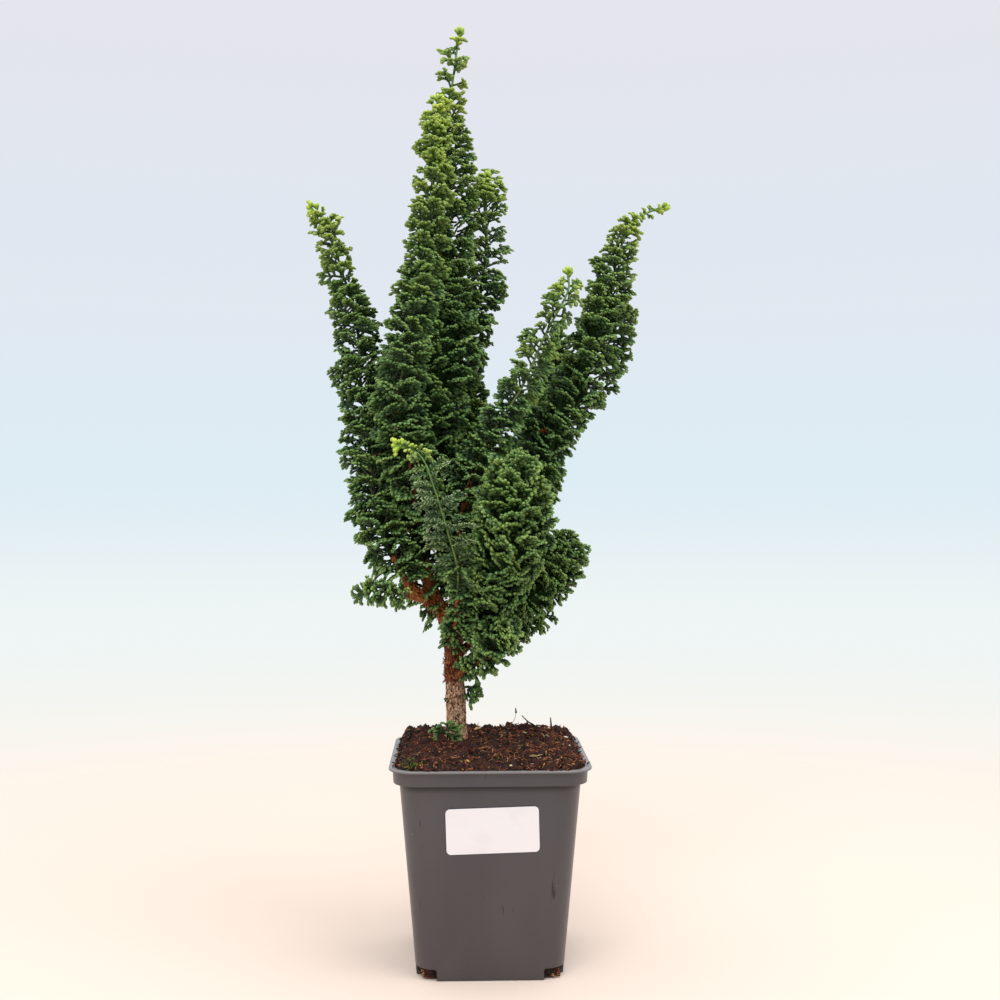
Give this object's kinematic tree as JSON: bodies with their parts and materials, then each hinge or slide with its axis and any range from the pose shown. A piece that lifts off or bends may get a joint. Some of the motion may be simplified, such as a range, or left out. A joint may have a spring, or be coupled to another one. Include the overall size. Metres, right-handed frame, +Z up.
{
  "type": "hinoki cypress bonsai in a nursery pot",
  "caption": "Young hinoki cypress grown as a bonsai: a slim trunk that forks into upright feathery plumes of scale-leaf fans, in a square plastic nursery pot with a blank label.",
  "frame": {"origin": "centre of the pot's flat underside, on the surface it stands on", "axes": "+Z up along the pot's axis, -Y to the front, where the label is, +X to the right as seen from the front"},
  "size_m": [0.2112, 0.1551, 0.5338],
  "materials": {
    "foliage": "satin scale leaves, deep green with lighter tips",
    "young_growth": "satin scale leaves, this year's bright yellow-green",
    "bark": "matt, shaggy fibrous bark, orange brown above and grey tan at the foot",
    "soil": "matt, fibrous dark brown potting soil with pale bits",
    "pot": "satin dark grey plastic, lightly scuffed",
    "label": "smooth white sticker, blank"
  },
  "bodies": {
    "root": {"pot": "pot", "label": "label", "soil": "soil", "wood": "bark", "leader": "foliage", "leader_tip": "young_growth", "second_leader": "foliage", "second_leader_tip": "young_growth", "left_plume": "foliage", "left_plume_tip": "young_growth", "right_centre_plume": "foliage", "right_centre_plume_tip": "young_growth", "middle_plume": "foliage", "middle_plume_tip": "young_growth", "right_plume": "foliage", "right_plume_tip": "young_growth", "front_plume": "foliage", "front_plume_tip": "young_growth", "dome_plume": "foliage", "back_plume": "foliage", "back_left_plume": "foliage", "back_right_plume": "foliage", "low_right_spray": "foliage", "low_front_spray": "foliage", "low_back_spray": "foliage", "low_left_spray": "foliage", "trunk_sprout": "foliage", "base_sprout": "foliage"}
  },
  "joints": []
}
